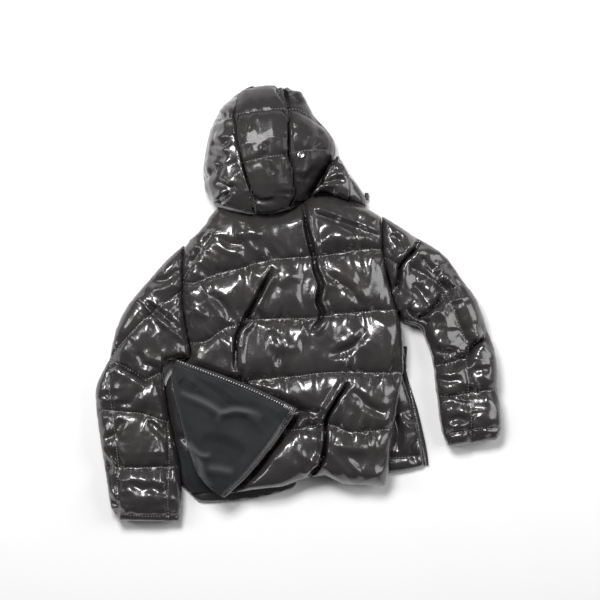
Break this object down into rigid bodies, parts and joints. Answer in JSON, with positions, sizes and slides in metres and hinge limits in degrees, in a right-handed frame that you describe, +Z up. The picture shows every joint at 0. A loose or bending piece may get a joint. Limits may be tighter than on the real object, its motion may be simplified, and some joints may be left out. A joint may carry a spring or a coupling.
{
  "type": "puffer jacket",
  "caption": "Glossy quilted puffer jacket with a filled hood, laid face down with one back corner turned over to show its plush lining; rests flat on a surface.",
  "frame": {"origin": "middle of the area that the laid jacket covers, on the surface it lies on", "axes": "+X across the jacket towards the wearer's right sleeve, +Y from the hem to the hood, +Z up from the surface, out of the jacket's back"},
  "size_m": [0.895, 0.9658, 0.127],
  "materials": {
    "nylon": "wet-look coated nylon, very glossy, dark warm charcoal, quilted over filling",
    "facing": "semi-gloss nylon hem facing with one row of stitching",
    "plush": "short dark grey plush pile, matt with a soft sheen on its folds",
    "zip": "black woven zip tape with dark coated teeth",
    "stud": "dark polished gunmetal",
    "stopper": "black plastic cord stopper"
  },
  "bodies": {
    "root": {"back": "nylon", "corner_hem_facing": "facing", "corner_lining": "plush", "corner_shell": "nylon", "corner_zip_tape": "zip", "front_left": "nylon", "front_left_lining": "plush", "front_right": "nylon", "front_zip": "zip", "hood_centre": "nylon", "hood_cord_stop": "stopper", "hood_edge_band": "nylon", "hood_left": "nylon", "hood_right": "nylon", "hood_side_front": "nylon", "hood_stud": "stud", "side_zip_tape": "zip", "sleeve_left_under": "nylon", "sleeve_left_upper": "nylon", "sleeve_right_under": "nylon", "sleeve_right_upper": "nylon"}
  },
  "joints": []
}
